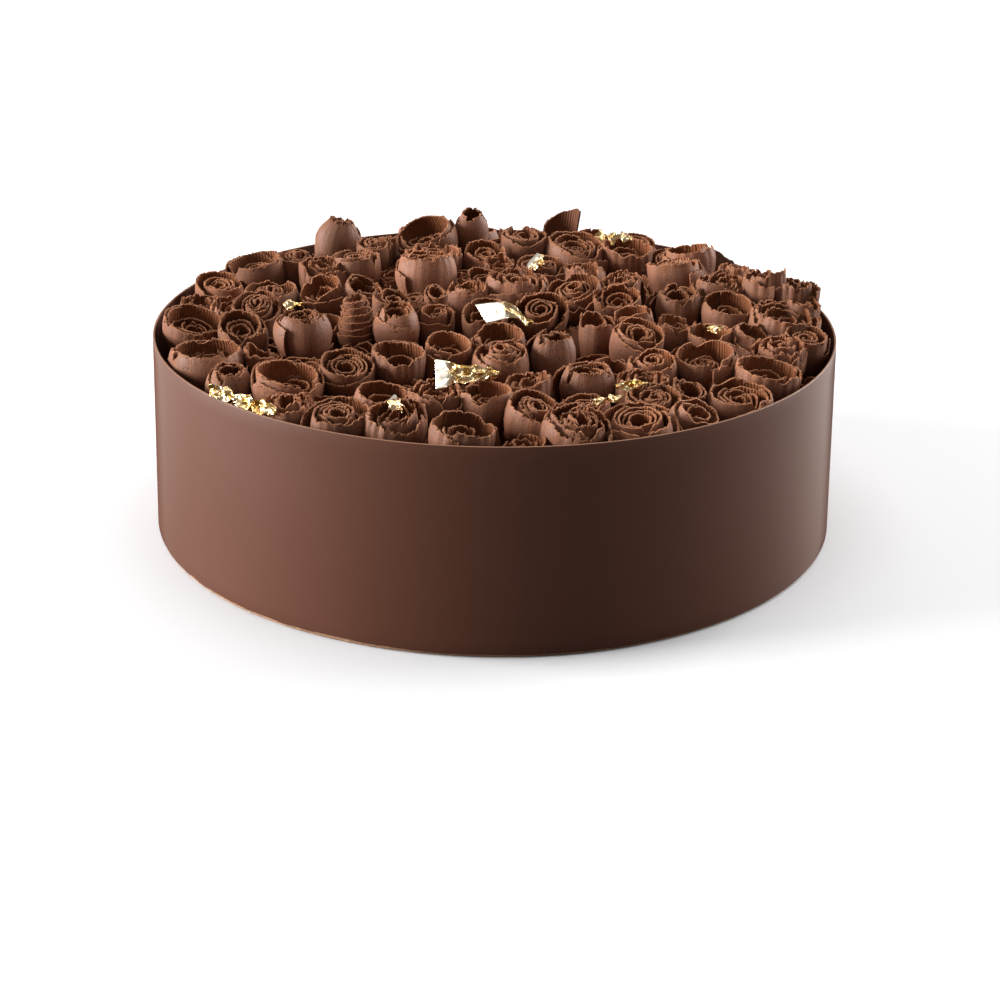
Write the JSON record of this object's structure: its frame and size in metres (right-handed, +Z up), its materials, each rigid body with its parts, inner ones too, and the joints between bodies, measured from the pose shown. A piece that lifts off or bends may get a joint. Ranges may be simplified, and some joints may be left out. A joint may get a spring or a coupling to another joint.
{
  "type": "chocolate curl cake",
  "caption": "Round uncut chocolate cake in a thin smooth chocolate band, its top heaped with rolled chocolate curls and dotted with crumpled flakes of gold leaf.",
  "frame": {"origin": "middle of the flat base, on the surface that the cake stands on", "axes": "+Z up through the middle of the cake, -Y towards the side that the picture shows, +X to the right"},
  "size_m": [0.2, 0.2, 0.0723],
  "materials": {
    "cake": "dark chocolate sponge and mousse, matt",
    "band": "tempered milk and dark chocolate sheet, smooth satin",
    "curls": "shaved chocolate rolled into curls, satin outside, ridged and torn at the edges",
    "gold": "crumpled edible gold leaf, bright"
  },
  "bodies": {
    "root": {"cake": "cake", "chocolate_band": "band", "chocolate_curls": "curls", "gold_leaf_01": "gold", "gold_leaf_02": "gold", "gold_leaf_03": "gold", "gold_leaf_04": "gold", "gold_leaf_05": "gold", "gold_leaf_06": "gold", "gold_leaf_07": "gold", "gold_leaf_08": "gold", "gold_leaf_09": "gold", "gold_leaf_10": "gold"}
  },
  "joints": []
}
